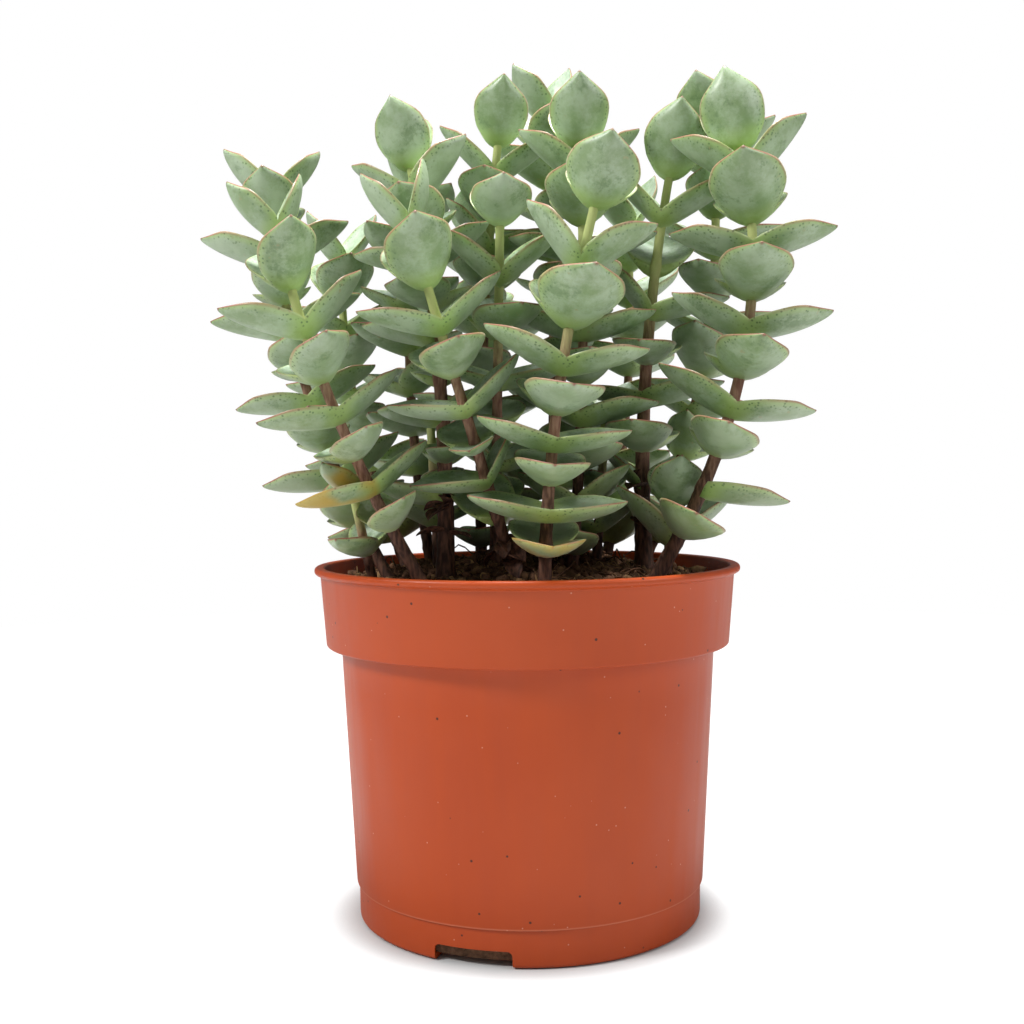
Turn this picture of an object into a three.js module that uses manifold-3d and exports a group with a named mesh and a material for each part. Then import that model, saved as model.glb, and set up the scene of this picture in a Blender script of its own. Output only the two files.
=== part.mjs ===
// A potted string of buttons: a succulent whose thin stems carry crossed pairs of thick, pointed,
// boat-shaped leaves, grown in a round plastic nursery pot.
// Millimetres, +Z up. The origin is the middle of the pot's underside, and -Y is the front.
import * as THREE from "three";
import { mergeVertices } from "three/addons/utils/BufferGeometryUtils.js";
import Module from "manifold-3d";

const wasm = await Module();
wasm.setup();

// Driving dimensions of the pot.
const LIP_RADIUS = 60;
const POT_HEIGHT = 98.6;
const WALL = 1.2;
const FLOOR = 1.5;
const LIP_DEPTH = 2;
const BAND_TOP_RADIUS = 58.3;
const BAND_FOOT_RADIUS = 56.9;
const BAND_FOOT_HEIGHT = 76.6;
const BODY_TOP_RADIUS = 52.7;
const BODY_FOOT_RADIUS = 48.8;
const FOOT_RING_HEIGHT = 9.8;
const FOOT_RING_STEP = 0.35;
const FOOT_ROUND = 1.2;
const SEGMENTS = 32; // round the pot and the soil
const NOTCH = { count: 3, width: 21, height: 4.4, inner: 41, outer: 52, turn: -108.5 };

// Driving dimensions of the soil.
const TOUCH = 0.3; // what is left free between pieces that rest on each other
const SOIL_EDGE_HEIGHT = 92.6;
const SOIL_MOUND = 5;
const SOIL_LUMP = 0.9;
const SOIL_RINGS = 4;
const ROOT_DEPTH = 12; // how deep a stem stands in its hole

// Driving dimensions that the leafy stems share.
const STEM_SIDES = 4;
const STEM_STEPS = 6;
const STEM_TIP_RADIUS = 1.15;
const LOWEST_LEAF = 100; // leaves stay above the lip and the soil
const LEAF_STATIONS = [0.34, 0.74]; // along a leaf, between its base on the axis and its tip
const LEAF_BASE_WIDTH = 0.62; // of the full width, at the stem
const CUP = 0.3; // how far the edges stand above the midrib, as a share of the half width
const LEAF_THICK = 2.9;
const SPARE = 1.2; // room kept round a leaf, in its length, width and thickness

// Each stem: where it leaves the soil, its tip, how far its middle bows out, the direction of its top
// pair (0 is along X) and how far that pair stands open, its leaves' length and width, the top and the
// lowest gap between pairs, the bare length above the soil, and the stem's radius at the soil.
// Those in front and on top stand where the photograph shows them. The back ones are the maker's own.
const STEMS = [
  { name: "stem_front_middle", base: [4, -40], tip: [17.5, -44, 192], bow: [-3, -3], turn: 92,
    open: 42, leaf: [23, 22], gaps: [16, 9], bare: 8, girth: 1.9 },
  { name: "stem_front_inner_left", base: [-3, -28], tip: [-29, -42, 186], bow: [0, -4], turn: 12,
    open: 62, leaf: [22, 18], gaps: [13, 10], bare: 10, girth: 1.8 },
  { name: "stem_front_left", base: [-26, -38], tip: [-63, -40, 186], bow: [-4, -2], turn: 24,
    open: 55, leaf: [21, 17], gaps: [14, 10], bare: 6, girth: 1.9 },
  { name: "shoot_right", base: [38, -15], tip: [40, -15, 116], bow: [0, 0], turn: 90,
    open: 45, leaf: [21, 17], gaps: [10, 9], bare: 4, girth: 1.6 },
  { name: "stem_right", base: [33, -27], tip: [58, -18, 212], bow: [12, -2], turn: 84,
    open: 74, leaf: [25, 21], gaps: [10, 11], bare: 9, girth: 2.3 },
  { name: "stem_middle_left", base: [-9, -12], tip: [-6.5, -28, 191], bow: [0, -1], turn: 94,
    open: 40, leaf: [21, 20], gaps: [16, 11], bare: 8, girth: 1.7 },
  { name: "stem_top_middle", base: [12, -17], tip: [15.5, -9, 215], bow: [2, 2], turn: 90,
    open: 58, leaf: [23, 19], gaps: [10, 12], bare: 6, girth: 1.8 },
  { name: "stem_woody_left", base: [-22, -26], tip: [-31, -13, 209], bow: [3, 2], turn: 78,
    open: 68, leaf: [22, 18], gaps: [9, 11], bare: 15, girth: 2.9 },
  { name: "stem_top_left", base: [-13, 5], tip: [-7, 3, 219], bow: [-2, 2], turn: 88,
    open: 60, leaf: [23, 19], gaps: [10, 12], bare: 8, girth: 1.8 },
  { name: "stem_woody_right", base: [33, -6], tip: [41, -4, 208], bow: [-3, 2], turn: 80,
    open: 60, leaf: [24, 20], gaps: [13, 12], bare: 16, girth: 3.0 },
  { name: "stem_outer_left", base: [-38, -14], tip: [-71, 2, 203], bow: [-7, 0], turn: 8,
    open: 45, leaf: [23, 18], gaps: [10, 11], bare: 7, girth: 1.8 },
  { name: "stem_top_back", base: [7, 22], tip: [7, 27, 232], bow: [2, 4], turn: 28,
    open: 55, leaf: [22, 18], gaps: [10, 12], bare: 10, girth: 1.8 },
  { name: "stem_right_back", base: [34, 16], tip: [55, 12, 222], bow: [9, 2], turn: 62,
    open: 58, leaf: [23, 19], gaps: [11, 12], bare: 8, girth: 1.9 },
  { name: "stem_left_middle_back", base: [-28, 13], tip: [-32, 17, 208], bow: [-4, 2], turn: 50,
    open: 58, leaf: [22, 18], gaps: [11, 12], bare: 8, girth: 1.8 },
  { name: "stem_left_back", base: [-36, 27], tip: [-56, 33, 190], bow: [-6, 5], turn: 20,
    open: 55, leaf: [22, 18], gaps: [11, 11], bare: 7, girth: 1.8 },
  { name: "stem_back", base: [-8, 42], tip: [-14, 54, 200], bow: [0, 6], turn: 75,
    open: 58, leaf: [23, 19], gaps: [12, 11], bare: 7, girth: 1.9 },
  { name: "stem_back_right", base: [25, 38], tip: [34, 51, 203], bow: [4, 6], turn: 35,
    open: 58, leaf: [23, 19], gaps: [12, 11], bare: 7, girth: 1.9 },
  { name: "shoot_left", base: [-41, -24], tip: [-46, -30, 121], bow: [0, 0], turn: 60,
    open: 45, leaf: [15, 13], gaps: [8, 8], bare: 3, girth: 1.4 },
  { name: "shoot_middle", base: [20, 2], tip: [23, 4, 140], bow: [0, 0], turn: 60,
    open: 50, leaf: [21, 18], gaps: [11, 10], bare: 6, girth: 1.6 },
  { name: "shoot_middle_left", base: [-25, -4], tip: [-27, -3, 142], bow: [0, 0], turn: 100,
    open: 50, leaf: [21, 18], gaps: [11, 10], bare: 6, girth: 1.6 },
];

// Pitch of the pairs below the top one above their stem's cross plane, in degrees.
const NEXT_PITCHES = [38, 27];
const LOW_PITCH = 22;
const LOWEST_PITCH = 12;
// A pair's size, counted from the top, as a share of the stem's leaf size.
const TOP_SIZES = [0.86, 0.97, 1];
const LOW_SIZE = 0.88;
// What a leaf in the way of another stem tries, in turn: more pitch and turn in degrees, and its size.
const WAYS_CLEAR = [
  [0, 0, 1], [10, 0, 1], [-8, 0, 1], [0, 14, 1], [0, -14, 1], [20, 0, 1], [0, 0, 0.86],
  [12, 12, 0.86], [12, -12, 0.86], [-8, 0, 0.86], [28, 0, 0.86], [0, 0, 0.72], [22, 0, 0.72],
  [-8, 14, 0.72], [-8, -14, 0.72], [34, 0, 0.72], [0, 0, 0.6], [26, 0, 0.6],
];

const radians = (degrees) => (degrees * Math.PI) / 180;
const mix = (a, b, t) => a + (b - a) * t;

// Numbers from 0 to 1 that are the same each run.
function seededNumbers(seed) {
  let state = seed;
  return () => {
    state = (state * 1664525 + 1013904223) % 4294967296;
    return state / 4294967296;
  };
}

function soilHeight(x, y) {
  const share = Math.min(1, Math.hypot(x, y) / BAND_TOP_RADIUS);
  const lumps = Math.sin(x * 0.31 + 1.3) * Math.sin(y * 0.37 + 0.4) + 0.5 * Math.sin(x * 0.83 - y * 0.71);
  return SOIL_EDGE_HEIGHT + SOIL_MOUND * (1 - share * share) + SOIL_LUMP * lumps;
}

// A stem's axis, from t = 0 at the soil to t = 1 at its tip, and below 0 in the soil.
function stemPoint(stem, t) {
  const foot = soilHeight(...stem.base);
  const bow = t > 0 ? 4 * t * (1 - t) : 0;
  return new THREE.Vector3(
    mix(stem.base[0], stem.tip[0], t) + stem.bow[0] * bow,
    mix(stem.base[1], stem.tip[1], t) + stem.bow[1] * bow,
    mix(foot, stem.tip[2], t),
  );
}

function stemLength(stem) {
  return stemPoint(stem, 1).distanceTo(stemPoint(stem, 0));
}

function stemDirection(stem, t) {
  return stemPoint(stem, t + 0.02).sub(stemPoint(stem, t - 0.02)).normalize();
}

// A tube along a stem's axis, as points and triangles.
function stemTube(stem, spare, depth) {
  const points = [];
  const faces = [];
  const start = -depth / stemLength(stem);
  for (let i = 0; i <= STEM_STEPS; i++) {
    const t = mix(start, 1, i / STEM_STEPS);
    const middle = stemPoint(stem, t);
    const along = stemDirection(stem, t);
    const across = new THREE.Vector3(0, 1, 0).cross(along).normalize();
    const third = along.clone().cross(across);
    const radius = mix(stem.girth, STEM_TIP_RADIUS, Math.sqrt(Math.max(0, t))) + spare;
    for (let k = 0; k < STEM_SIDES; k++) {
      const a = (2 * Math.PI * k) / STEM_SIDES;
      const out = across.clone().multiplyScalar(radius * Math.cos(a));
      points.push(middle.clone().add(out).addScaledVector(third, radius * Math.sin(a)));
    }
  }
  for (let i = 0; i < STEM_STEPS; i++) {
    for (let k = 0; k < STEM_SIDES; k++) {
      const a = i * STEM_SIDES + k;
      const b = i * STEM_SIDES + ((k + 1) % STEM_SIDES);
      faces.push([a, b, a + STEM_SIDES], [b, b + STEM_SIDES, a + STEM_SIDES]);
    }
  }
  const top = STEM_STEPS * STEM_SIDES;
  for (let k = 1; k < STEM_SIDES - 1; k++) {
    faces.push([0, k + 1, k], [top, top + k, top + k + 1]);
  }
  return { points, faces };
}

// Half width of a leaf as a share of its greatest: broad where the pair joins, widest below the
// middle, and drawn to a point.
function leafOutline(t) {
  const s = Math.max(0, t);
  return Math.pow(1 - Math.pow(s, 2.2), 0.9) * (LEAF_BASE_WIDTH + Math.pow(s, 0.8));
}

// Four points round a leaf, counted about its own direction: an edge, the midrib, the other edge
// and the keel.
function leafRing(middle, side, normal, half, keel, spare) {
  const edge = CUP * half;
  return [
    middle.clone().addScaledVector(side, half).addScaledVector(normal, edge),
    middle.clone().addScaledVector(normal, spare / 2 + 0.2),
    middle.clone().addScaledVector(side, -half).addScaledVector(normal, edge),
    middle.clone().addScaledVector(normal, -keel),
  ];
}

// The rings of a leaf beyond the stem, and its tip. Its midrib is an arc that curls upwards.
function leafRings(leaf, spare) {
  const length = leaf.length + spare;
  const first = leaf.pitch - leaf.curl / 2;
  const side = leaf.up.clone().cross(leaf.out);
  const middleAt = (t) => {
    const angle = first + leaf.curl * t;
    const reach = (length * (Math.sin(angle) - Math.sin(first))) / leaf.curl;
    const rise = (length * (Math.cos(first) - Math.cos(angle))) / leaf.curl;
    return leaf.root.clone().addScaledVector(leaf.out, reach).addScaledVector(leaf.up, rise);
  };
  const rings = LEAF_STATIONS.map((t) => {
    const angle = first + leaf.curl * t;
    const normal = leaf.up.clone().multiplyScalar(Math.cos(angle)).addScaledVector(leaf.out, -Math.sin(angle));
    const half = ((leaf.width + spare) / 2) * leafOutline(t);
    return leafRing(middleAt(t), side, normal, half, (LEAF_THICK * leaf.share + spare) * (1 - 0.4 * t), spare);
  });
  return { rings, tip: middleAt(1) };
}

// One leaf, or a pair that is grown together through the stem, as points and triangles.
function pairMesh([leaf, mate], spare) {
  const out = mate ? leaf.out.clone().sub(mate.out).normalize() : leaf.out;
  const side = leaf.up.clone().cross(out);
  const share = mate ? (leaf.share + mate.share) / 2 : leaf.share;
  const width = mate ? (leaf.width + mate.width) / 2 : leaf.width;
  const half = ((width + spare) / 2) * leafOutline(0);
  const rings = [leafRing(leaf.root, side, leaf.up, half, LEAF_THICK * share + spare, spare)];
  const { rings: outer, tip } = leafRings(leaf, spare);
  rings.push(...outer);
  let farTip = null;
  if (mate) {
    const far = leafRings(mate, spare);
    for (const [a, b, c, d] of far.rings) rings.unshift([c, b, a, d]);
    farTip = far.tip;
  }
  const points = [...rings.flat(), tip];
  const faces = [];
  for (let i = 0; i + 1 < rings.length; i++) {
    for (let k = 0; k < 4; k++) {
      const a = 4 * i + k;
      const b = 4 * i + ((k + 1) % 4);
      faces.push([a, b, a + 4], [b, b + 4, a + 4]);
    }
  }
  const last = 4 * (rings.length - 1);
  for (let k = 0; k < 4; k++) {
    faces.push([last + k, last + ((k + 1) % 4), last + 4]);
    if (farTip) faces.push([last + 5, (k + 1) % 4, k]);
  }
  if (farTip) points.push(farTip);
  else faces.push([0, 2, 1], [0, 3, 2]);
  return { points, faces };
}

// Whether an edge of one mesh goes through a face of the other.
function edgesPierce(a, b) {
  const edges = a.faces.flatMap(([p, q, r]) => [[p, q], [q, r], [r, p]]).filter(([p, q]) => p < q);
  const e1 = new THREE.Vector3();
  const e2 = new THREE.Vector3();
  const way = new THREE.Vector3();
  const h = new THREE.Vector3();
  const s = new THREE.Vector3();
  const q = new THREE.Vector3();
  for (const [i0, i1] of edges) {
    way.subVectors(a.points[i1], a.points[i0]);
    for (const [f0, f1, f2] of b.faces) {
      e1.subVectors(b.points[f1], b.points[f0]);
      e2.subVectors(b.points[f2], b.points[f0]);
      h.crossVectors(way, e2);
      const det = e1.dot(h);
      if (Math.abs(det) < 1e-9) continue;
      s.subVectors(a.points[i0], b.points[f0]);
      const u = s.dot(h) / det;
      if (u < 0 || u > 1) continue;
      q.crossVectors(s, e1);
      const v = way.dot(q) / det;
      if (v < 0 || u + v > 1) continue;
      const t = e2.dot(q) / det;
      if (t >= 0 && t <= 1) return true;
    }
  }
  return false;
}

function reach(mesh) {
  const box = new THREE.Box3().setFromPoints(mesh.points);
  return { ...mesh, box };
}

function crosses(a, b) {
  return a.box.intersectsBox(b.box) && (edgesPierce(a, b) || edgesPierce(b, a));
}

// The pairs of a stem from its tip down, each with its place, direction, pitch and size.
function pairsOf(stem, random) {
  const pairs = [];
  const length = stemLength(stem);
  const room = length - stem.bare;
  let down = 0;
  for (let k = 0; down <= room; k++) {
    const low = Math.max(0, down / length);
    const pitch = [stem.open, ...NEXT_PITCHES][k] ?? mix(LOW_PITCH, LOWEST_PITCH, low);
    pairs.push({
      t: 1 - down / length,
      turn: stem.turn + 90 * k + 16 * (random() - 0.5),
      pitch: pitch + 8 * (random() - 0.5),
      size: (TOP_SIZES[k] ?? mix(1, LOW_SIZE, low)) * (1 + 0.1 * (random() - 0.5)),
      curl: k === 0 ? 34 : 12 + 22 * (random() - 0.4),
    });
    down += mix(stem.gaps[0], stem.gaps[1], Math.min(1, (2 * down) / length)) * (1 + 0.12 * (random() - 0.5));
  }
  return pairs;
}

function makeLeaf(stem, pair, side, [morePitch, moreTurn, size]) {
  const up = stemDirection(stem, pair.t);
  const turn = radians(pair.turn + 180 * side + moreTurn);
  const level = new THREE.Vector3(Math.cos(turn), Math.sin(turn), 0);
  const out = level.addScaledVector(up, -level.dot(up)).normalize();
  return {
    root: stemPoint(stem, pair.t),
    up,
    out,
    length: stem.leaf[0] * pair.size * size,
    width: stem.leaf[1] * pair.size * size,
    share: pair.size * size,
    pitch: radians(pair.pitch + morePitch),
    curl: radians(pair.curl || 1),
  };
}

// Each stem's pairs, with every leaf that has room. The stems are served in the order of the list, so
// those in front grow as they like, and those behind bend clear of them, stay smaller, or drop a leaf.
function growPairs(stems) {
  const tubes = stems.map((stem) => reach(stemTube(stem, 0.4, 0)));
  const others = [];
  return stems.map((stem, index) => {
    const random = seededNumbers(7 + 131 * index);
    const isFree = (leaf) => {
      const wide = reach(pairMesh([leaf], SPARE));
      return wide.box.min.z > LOWEST_LEAF
        && !tubes.some((tube, other) => other !== index && crosses(wide, tube))
        && !others.some((mesh) => crosses(wide, mesh));
    };
    const pairs = [];
    for (const pair of pairsOf(stem, random)) {
      const leaves = [0, 1].map((side) => WAYS_CLEAR.map((way) => makeLeaf(stem, pair, side, way)).find(isFree));
      pairs.push(leaves.filter((leaf) => leaf));
    }
    const grown = pairs.filter((leaves) => leaves.length > 0);
    others.push(...grown.map((leaves) => reach(pairMesh(leaves, 0))));
    return grown;
  });
}

function solidFromMesh({ points, faces }) {
  return new wasm.Manifold(new wasm.Mesh({
    numProp: 3,
    vertProperties: new Float32Array(points.flatMap((p) => p.toArray())),
    triVerts: new Uint32Array(faces.flat()),
  }));
}

function solidFromGeometry(geometry) {
  const plain = geometry.clone();
  plain.deleteAttribute("normal");
  plain.deleteAttribute("uv");
  const merged = mergeVertices(plain, 1e-4);
  return new wasm.Manifold(new wasm.Mesh({
    numProp: 3,
    vertProperties: merged.attributes.position.array,
    triVerts: new Uint32Array(merged.index.array),
  }));
}

function geometryOf(solid) {
  const { vertProperties, triVerts } = solid.getMesh();
  const geometry = new THREE.BufferGeometry();
  geometry.setAttribute("position", new THREE.BufferAttribute(vertProperties, 3));
  geometry.setIndex(new THREE.BufferAttribute(triVerts, 1));
  return geometry;
}

// A profile of [radius, height] points, from the axis back to the axis, turned about Z.
function turned(profile) {
  const points = profile.map(([radius, height]) => new THREE.Vector2(radius, height));
  return new THREE.LatheGeometry(points, SEGMENTS).rotateX(Math.PI / 2);
}

// The inner radius of the pot at a height above the floor, below the band.
function innerRadius(z) {
  return mix(BODY_FOOT_RADIUS, BODY_TOP_RADIUS, z / BAND_FOOT_HEIGHT) - WALL;
}

function makePot() {
  const foot = BODY_FOOT_RADIUS - FOOT_RING_STEP;
  const shelf = BAND_FOOT_HEIGHT + WALL;
  const profile = [
    [0, 0],
    [foot - FOOT_ROUND, 0],
    [foot - FOOT_ROUND * 0.3, FOOT_ROUND * 0.3],
    [foot, FOOT_ROUND],
    [foot + 0.1, FOOT_RING_HEIGHT],
    [BODY_FOOT_RADIUS + 0.45, FOOT_RING_HEIGHT + 0.3],
    [BODY_TOP_RADIUS, BAND_FOOT_HEIGHT],
    [BAND_FOOT_RADIUS - 0.4, BAND_FOOT_HEIGHT],
    [BAND_FOOT_RADIUS, BAND_FOOT_HEIGHT + 0.5],
    [BAND_TOP_RADIUS, POT_HEIGHT - LIP_DEPTH - 0.6],
    [LIP_RADIUS - 0.4, POT_HEIGHT - LIP_DEPTH],
    [LIP_RADIUS, POT_HEIGHT - LIP_DEPTH / 2],
    [LIP_RADIUS - 0.6, POT_HEIGHT],
    [BAND_TOP_RADIUS - WALL, POT_HEIGHT - 0.2],
    [BAND_FOOT_RADIUS - WALL, shelf],
    [innerRadius(shelf), shelf],
    [innerRadius(FLOOR), FLOOR],
    [0, FLOOR],
  ];
  let pot = solidFromGeometry(turned(profile));
  for (let i = 0; i < NOTCH.count; i++) {
    const depth = NOTCH.outer - NOTCH.inner;
    const box = new THREE.BoxGeometry(depth, NOTCH.width, 2 * NOTCH.height);
    box.translate(NOTCH.inner + depth / 2, 0, 0);
    box.rotateZ(radians(NOTCH.turn + (360 / NOTCH.count) * i));
    pot = pot.subtract(solidFromGeometry(box));
  }
  return pot;
}

// The soil fills the pot. Its top is a low mound with lumps, and each stem stands in a plain hole.
function makeSoil() {
  const shelf = BAND_FOOT_HEIGHT + WALL + TOUCH;
  const topRadius = BAND_TOP_RADIUS - WALL - TOUCH - 0.6;
  const walls = [
    [0, FLOOR + TOUCH],
    [innerRadius(FLOOR) - TOUCH - 0.05, FLOOR + TOUCH],
    [innerRadius(shelf) - TOUCH - 0.1, shelf],
    [BAND_FOOT_RADIUS - WALL - TOUCH - 0.1, shelf],
    [topRadius, SOIL_EDGE_HEIGHT - 1.5],
  ];
  for (let i = SOIL_RINGS; i >= 0; i--) walls.push([(topRadius * i) / SOIL_RINGS, SOIL_EDGE_HEIGHT]);
  const geometry = turned(walls);
  const position = geometry.attributes.position;
  for (let i = 0; i < position.count; i++) {
    if (position.getZ(i) > SOIL_EDGE_HEIGHT - 0.01) {
      position.setZ(i, soilHeight(position.getX(i), position.getY(i)));
    }
  }
  let soil = solidFromGeometry(geometry);
  for (const stem of STEMS) {
    soil = soil.subtract(solidFromMesh(stemTube(stem, TOUCH + 0.1, ROOT_DEPTH + TOUCH)));
  }
  return soil;
}

function makeStem(stem, pairs) {
  const tube = solidFromMesh(stemTube(stem, 0, ROOT_DEPTH));
  return pairs.reduce((whole, leaves) => whole.add(solidFromMesh(pairMesh(leaves, 0))), tube);
}

const plastic = new THREE.MeshStandardMaterial({ color: 0xb5532f, roughness: 0.45, metalness: 0 });
const peat = new THREE.MeshStandardMaterial({ color: 0x3a2418, roughness: 0.95, metalness: 0 });
const leafGreen = new THREE.MeshStandardMaterial({ color: 0x8faf8c, roughness: 0.6, metalness: 0 });

const plant = new THREE.Group();

function addPiece(name, solid, material) {
  const mesh = new THREE.Mesh(geometryOf(solid), material);
  mesh.name = name;
  plant.add(mesh);
}

addPiece("pot", makePot(), plastic);
addPiece("soil", makeSoil(), peat);
const pairs = growPairs(STEMS);
STEMS.forEach((stem, index) => addPiece(stem.name, makeStem(stem, pairs[index]), leafGreen));

export default plant;
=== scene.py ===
# %% [markdown]
# # A potted string of buttons
#
# The part is a small succulent in a round plastic nursery pot. Its stems carry crossed pairs of thick,
# pointed leaves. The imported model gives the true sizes, and this lesson dresses it: each stem is grown
# again by the rule that shaped it, with smooth leaves in place of faceted ones.

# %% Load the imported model
import math
import random

import bmesh
import bpy
from mathutils import Matrix, Vector, noise
from mathutils.bvhtree import BVHTree


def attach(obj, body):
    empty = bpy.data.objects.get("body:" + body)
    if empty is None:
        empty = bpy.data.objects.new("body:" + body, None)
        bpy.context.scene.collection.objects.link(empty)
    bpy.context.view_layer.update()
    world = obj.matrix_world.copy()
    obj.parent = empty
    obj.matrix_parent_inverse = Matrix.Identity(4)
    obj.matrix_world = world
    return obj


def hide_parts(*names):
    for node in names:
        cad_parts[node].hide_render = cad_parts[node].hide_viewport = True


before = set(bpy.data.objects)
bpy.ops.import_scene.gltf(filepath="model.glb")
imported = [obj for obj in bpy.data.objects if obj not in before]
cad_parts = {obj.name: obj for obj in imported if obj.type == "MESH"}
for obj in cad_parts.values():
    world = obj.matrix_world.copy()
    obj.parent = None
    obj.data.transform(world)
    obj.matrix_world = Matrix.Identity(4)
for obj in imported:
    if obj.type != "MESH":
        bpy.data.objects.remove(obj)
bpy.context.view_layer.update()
MM = 0.001

# %% [markdown]
# ## Camera
#
# The camera stands where the photographer's did: a little above half the object's height, close enough
# for the pot's lip to show as a thin ellipse. Distance, height and lens were worked out from the
# ellipses of the lip, the band and the foot. It leans by half a degree, as the photograph does.

# %% Camera
FOCAL_PIXELS = 1291
SENSOR = 36
camera_data = bpy.data.cameras.new("camera")
camera_data.sensor_width = SENSOR
camera_data.lens = SENSOR * FOCAL_PIXELS / 1024
camera = bpy.data.objects.new("camera", camera_data)
bpy.context.collection.objects.link(camera)
tilt = Matrix.Rotation(math.radians(90 - 1.93), 4, "X")
lean = Matrix.Rotation(math.radians(-0.55), 4, "Z")
camera.matrix_world = Matrix.Translation(Vector((-4.1, -368, 125.6)) * MM) @ tilt @ lean
bpy.context.scene.camera = camera
print("lens in mm:", round(camera_data.lens, 1))

# %% [markdown]
# ## Light and floor
#
# The photograph is a high-key studio shot: white all round, with a soft light high on the left, a
# strong one above and a weaker one on the right. The world gives the even light: a ray from the camera
# meets pure white, and a ray that lights the plant meets a dimmer grey, so the backdrop is white
# without flat shading. The lamps give the light its direction. The Standard view keeps colours as they
# were chosen.

# %% Light
scene = bpy.context.scene
scene.view_settings.view_transform = "Standard"
world = bpy.data.worlds.new("white studio")
scene.world = world
world.use_nodes = True
surroundings = world.node_tree.nodes["Background"]
surroundings.inputs["Color"].default_value = (0.95, 0.97, 1.0, 1.0)
surroundings.inputs["Strength"].default_value = 0.23
backdrop = world.node_tree.nodes.new("ShaderNodeBackground")
backdrop.inputs["Color"].default_value = (1.0, 1.0, 1.0, 1.0)
ray = world.node_tree.nodes.new("ShaderNodeLightPath")
choice = world.node_tree.nodes.new("ShaderNodeMixShader")
world.node_tree.links.new(ray.outputs["Is Camera Ray"], choice.inputs[0])
world.node_tree.links.new(surroundings.outputs[0], choice.inputs[1])
world.node_tree.links.new(backdrop.outputs[0], choice.inputs[2])
world.node_tree.links.new(choice.outputs[0], world.node_tree.nodes["World Output"].inputs[0])


def softbox(name, place, size, power):
    """A square area light that faces the plant's middle."""
    lamp = bpy.data.lights.new(name, "AREA")
    lamp.energy = power
    lamp.size = size
    box = bpy.data.objects.new(name, lamp)
    bpy.context.collection.objects.link(box)
    box.location = Vector(place)
    box.rotation_euler = (Vector((0, 0, 0.14)) - box.location).to_track_quat("-Z", "Y").to_euler()
    return box


softbox("key light", (-0.95, -0.5, 0.95), 0.3, 13.0)
softbox("fill light", (0.95, -0.4, 0.6), 0.4, 3.8)
softbox("top light", (0.05, 0.0, 1.05), 0.3, 15.5)

# %% [markdown]
# ## One way to make every finish
#
# A finish is a small network of nodes. One function adds a node, sets it and links it, and short ones
# for the commonest kinds call it, so a material reads from top to bottom like a recipe. Colours are
# picked in sRGB, and the shader works in linear light, so one function turns the first into the second.
# Patterns are given by their real size.

# %% Helpers for materials
def linear(hex_colour):
    """An sRGB colour such as "B5532F" as linear red, green, blue and alpha."""
    parts = [int(hex_colour[i:i + 2], 16) / 255 for i in (0, 2, 4)]
    return tuple(c / 12.92 if c <= 0.04045 else ((c + 0.055) / 1.055) ** 2.4 for c in parts) + (1.0,)


def per(millimetres):
    """The texture scale at which a pattern repeats about every so many millimetres."""
    return 1 / (millimetres * MM)


def add(tree, kind, inputs=None, **settings):
    """Adds a node. Inputs are values, or outputs of other nodes to link."""
    node = tree.nodes.new(kind)
    for key, value in settings.items():
        setattr(node, key, value)
    for key, value in (inputs or {}).items():
        if isinstance(value, bpy.types.NodeSocket):
            tree.links.new(value, node.inputs[key])
        else:
            node.inputs[key].default_value = value
    return node


def start_material(name):
    """An empty material with a Principled shader, as (material, tree, shader, object coordinates)."""
    material = bpy.data.materials.new(name)
    material.use_nodes = True
    tree = material.node_tree
    shader = tree.nodes["Principled BSDF"]
    place = add(tree, "ShaderNodeTexCoord").outputs["Object"]
    return material, tree, shader, place


def number(tree, name):
    """A number that the mesh carries at each of its points."""
    return add(tree, "ShaderNodeAttribute", attribute_name=name).outputs["Fac"]


def patches(tree, place, size, detail, roughness=0.5):
    """Noise from 0 to 1, in patches of about so many millimetres."""
    inputs = {"Vector": place, "Scale": per(size), "Detail": detail, "Roughness": roughness}
    return add(tree, "ShaderNodeTexNoise", inputs).outputs["Fac"]


def specks(tree, place, size):
    """The distance to the nearest of many scattered points, about so many millimetres apart."""
    inputs = {"Vector": place, "Scale": per(size)}
    return add(tree, "ShaderNodeTexVoronoi", inputs).outputs["Distance"]


def ramp(tree, value, start, end, low=0, high=1, soft=False):
    """Turns a value from start to end into one from low to high, and holds it outside."""
    inputs = {"Value": value, "From Min": start, "From Max": end, "To Min": low, "To Max": high}
    curve = "SMOOTHSTEP" if soft else "LINEAR"
    return add(tree, "ShaderNodeMapRange", inputs, interpolation_type=curve).outputs[0]


def blend(tree, share, first, second):
    """Mixes two colours, each given as hex or as another node's colour, by a share of the second."""
    first, second = [linear(c) if isinstance(c, str) else c for c in (first, second)]
    inputs = {0: share, 6: first, 7: second}
    return add(tree, "ShaderNodeMix", inputs, data_type="RGBA").outputs[2]


def calculate(tree, operation, a, b):
    return add(tree, "ShaderNodeMath", {0: a, 1: b}, operation=operation).outputs[0]


def bump(tree, height, strength, depth, under=None):
    """Relief of so many millimetres, on top of other relief where there is some."""
    inputs = {"Height": height, "Strength": strength, "Distance": depth * MM}
    if under is not None:
        inputs["Normal"] = under
    return add(tree, "ShaderNodeBump", inputs).outputs[0]


# %% [markdown]
# ## Floor
#
# Matt white paper, without gloss, with the faintest tone so that it isn't a dead flat colour. For a ray
# from the camera it glows, as paper on a light table does, so that it stays white to its edge, while
# its bounce on the plant stays that of plain paper. Close to the pot, where little of the sky is open,
# the glow fades, and a dark line of contact shadow shows that the pot stands on the paper.

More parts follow.
